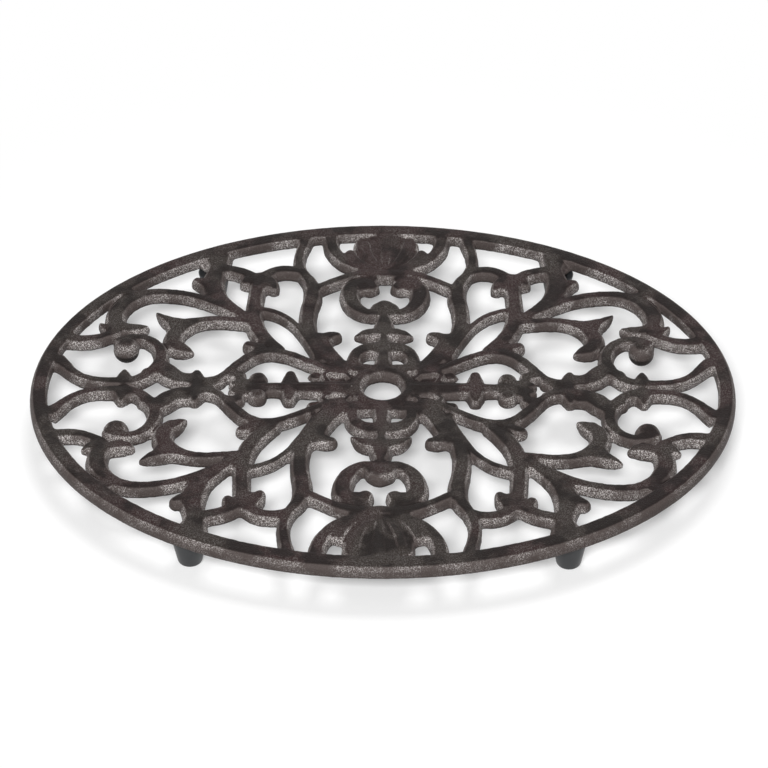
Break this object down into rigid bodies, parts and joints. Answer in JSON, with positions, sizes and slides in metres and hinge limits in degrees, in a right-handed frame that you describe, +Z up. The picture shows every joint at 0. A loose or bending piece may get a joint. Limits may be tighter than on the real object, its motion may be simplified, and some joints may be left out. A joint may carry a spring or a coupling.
{
  "type": "trivet",
  "caption": "Oval openwork cast-iron trivet with scrolled grille, plain rim, centre ring and push-on rubber feet, for standing hot pots and pans on a table.",
  "frame": {"origin": "on the floor under the centre of the oval", "axes": "+X along the long axis to the right, +Y along the short axis to the back, +Z up"},
  "size_m": [0.23, 0.1816, 0.0154],
  "materials": {
    "cast_iron": "dark brown antique finish on a sand-cast skin, lightly rubbed on edges and walls",
    "rubber": "satin black"
  },
  "bodies": {
    "root": {"cast_iron_grid": "cast_iron", "rubber_foot_front_left": "rubber", "rubber_foot_front_right": "rubber", "rubber_foot_back_left": "rubber", "rubber_foot_back_right": "rubber"}
  },
  "joints": []
}
